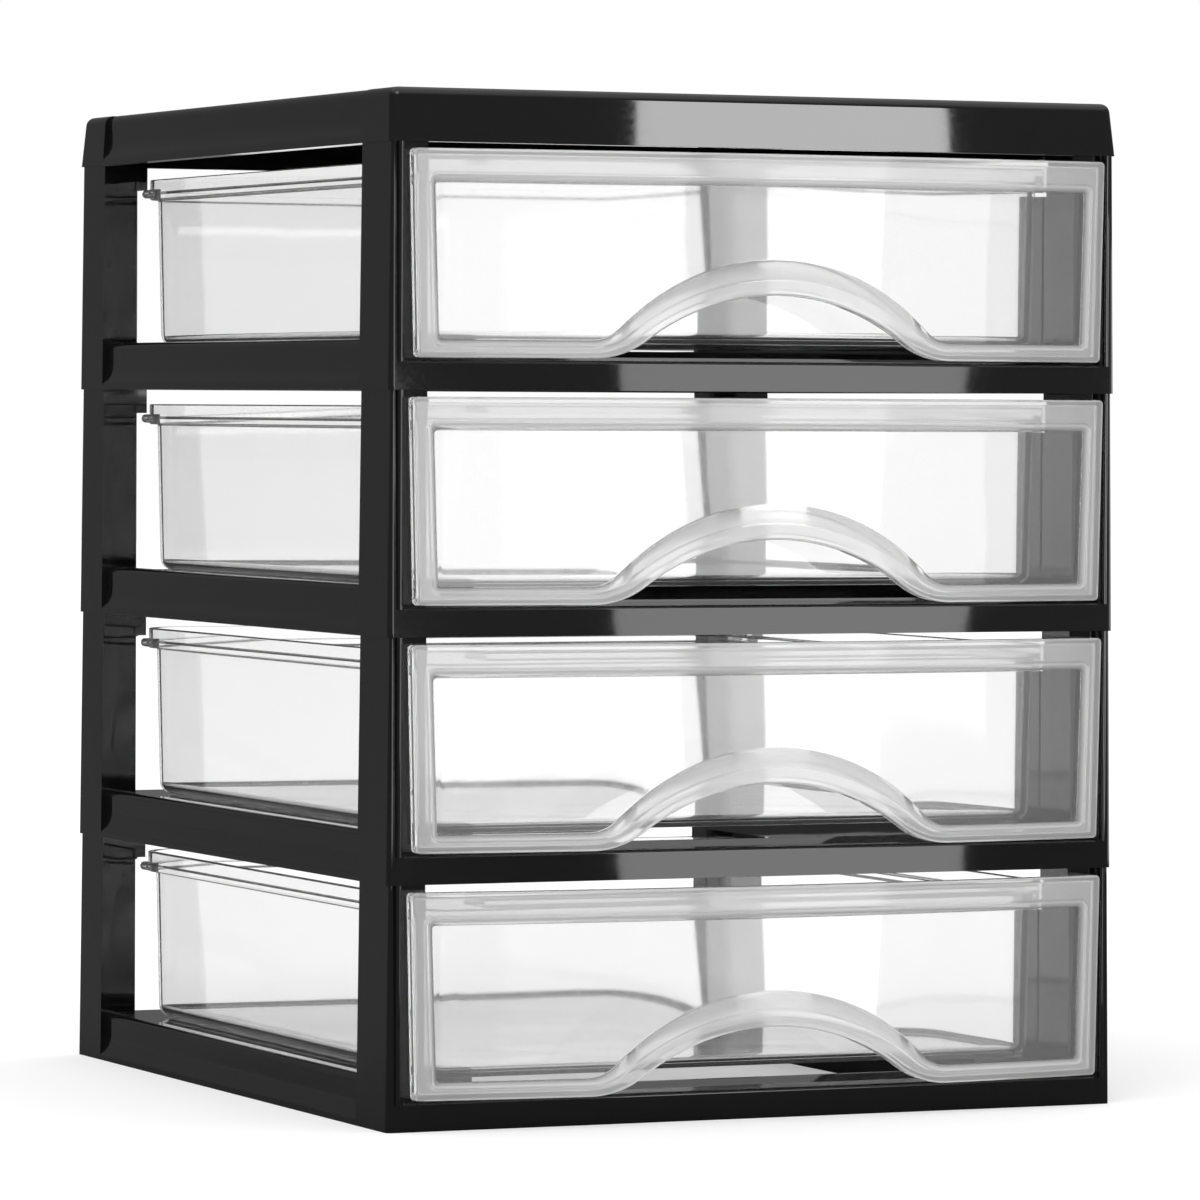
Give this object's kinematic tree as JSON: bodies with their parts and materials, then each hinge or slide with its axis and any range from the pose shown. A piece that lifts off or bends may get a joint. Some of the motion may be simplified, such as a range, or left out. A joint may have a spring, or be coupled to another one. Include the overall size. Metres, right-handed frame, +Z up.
{
  "type": "desktop drawer organizer",
  "caption": "Desktop tower of stacked black frames with a closed top cover and clear sliding drawers, each with a raised border and an arched finger pull in its front.",
  "frame": {"origin": "middle of the footprint, on the surface the unit stands on", "axes": "+Z up, the drawer fronts face -Y, +X to the right of someone facing the fronts"},
  "size_m": [0.18, 0.2094, 0.23],
  "materials": {
    "frame_black": "glossy injection-moulded black",
    "drawer_clear": "clear glossy polystyrene"
  },
  "bodies": {
    "frame": {"top_cover": "frame_black", "tier_frame_1": "frame_black", "tier_frame_2": "frame_black", "tier_frame_3": "frame_black", "tier_frame_4": "frame_black"},
    "drawer_1": {"drawer_1": "drawer_clear"},
    "drawer_2": {"drawer_2": "drawer_clear"},
    "drawer_3": {"drawer_3": "drawer_clear"},
    "drawer_4": {"drawer_4": "drawer_clear"}
  },
  "joints": [
    {"name": "drawer_1_slide", "type": "slide", "parent": "frame", "child": "drawer_1", "axis": [0, -1, 0], "range_m": [0, 0.155]},
    {"name": "drawer_2_slide", "type": "slide", "parent": "frame", "child": "drawer_2", "axis": [0, -1, 0], "range_m": [0, 0.155]},
    {"name": "drawer_3_slide", "type": "slide", "parent": "frame", "child": "drawer_3", "axis": [0, -1, 0], "range_m": [0, 0.155]},
    {"name": "drawer_4_slide", "type": "slide", "parent": "frame", "child": "drawer_4", "axis": [0, -1, 0], "range_m": [0, 0.155]}
  ]
}
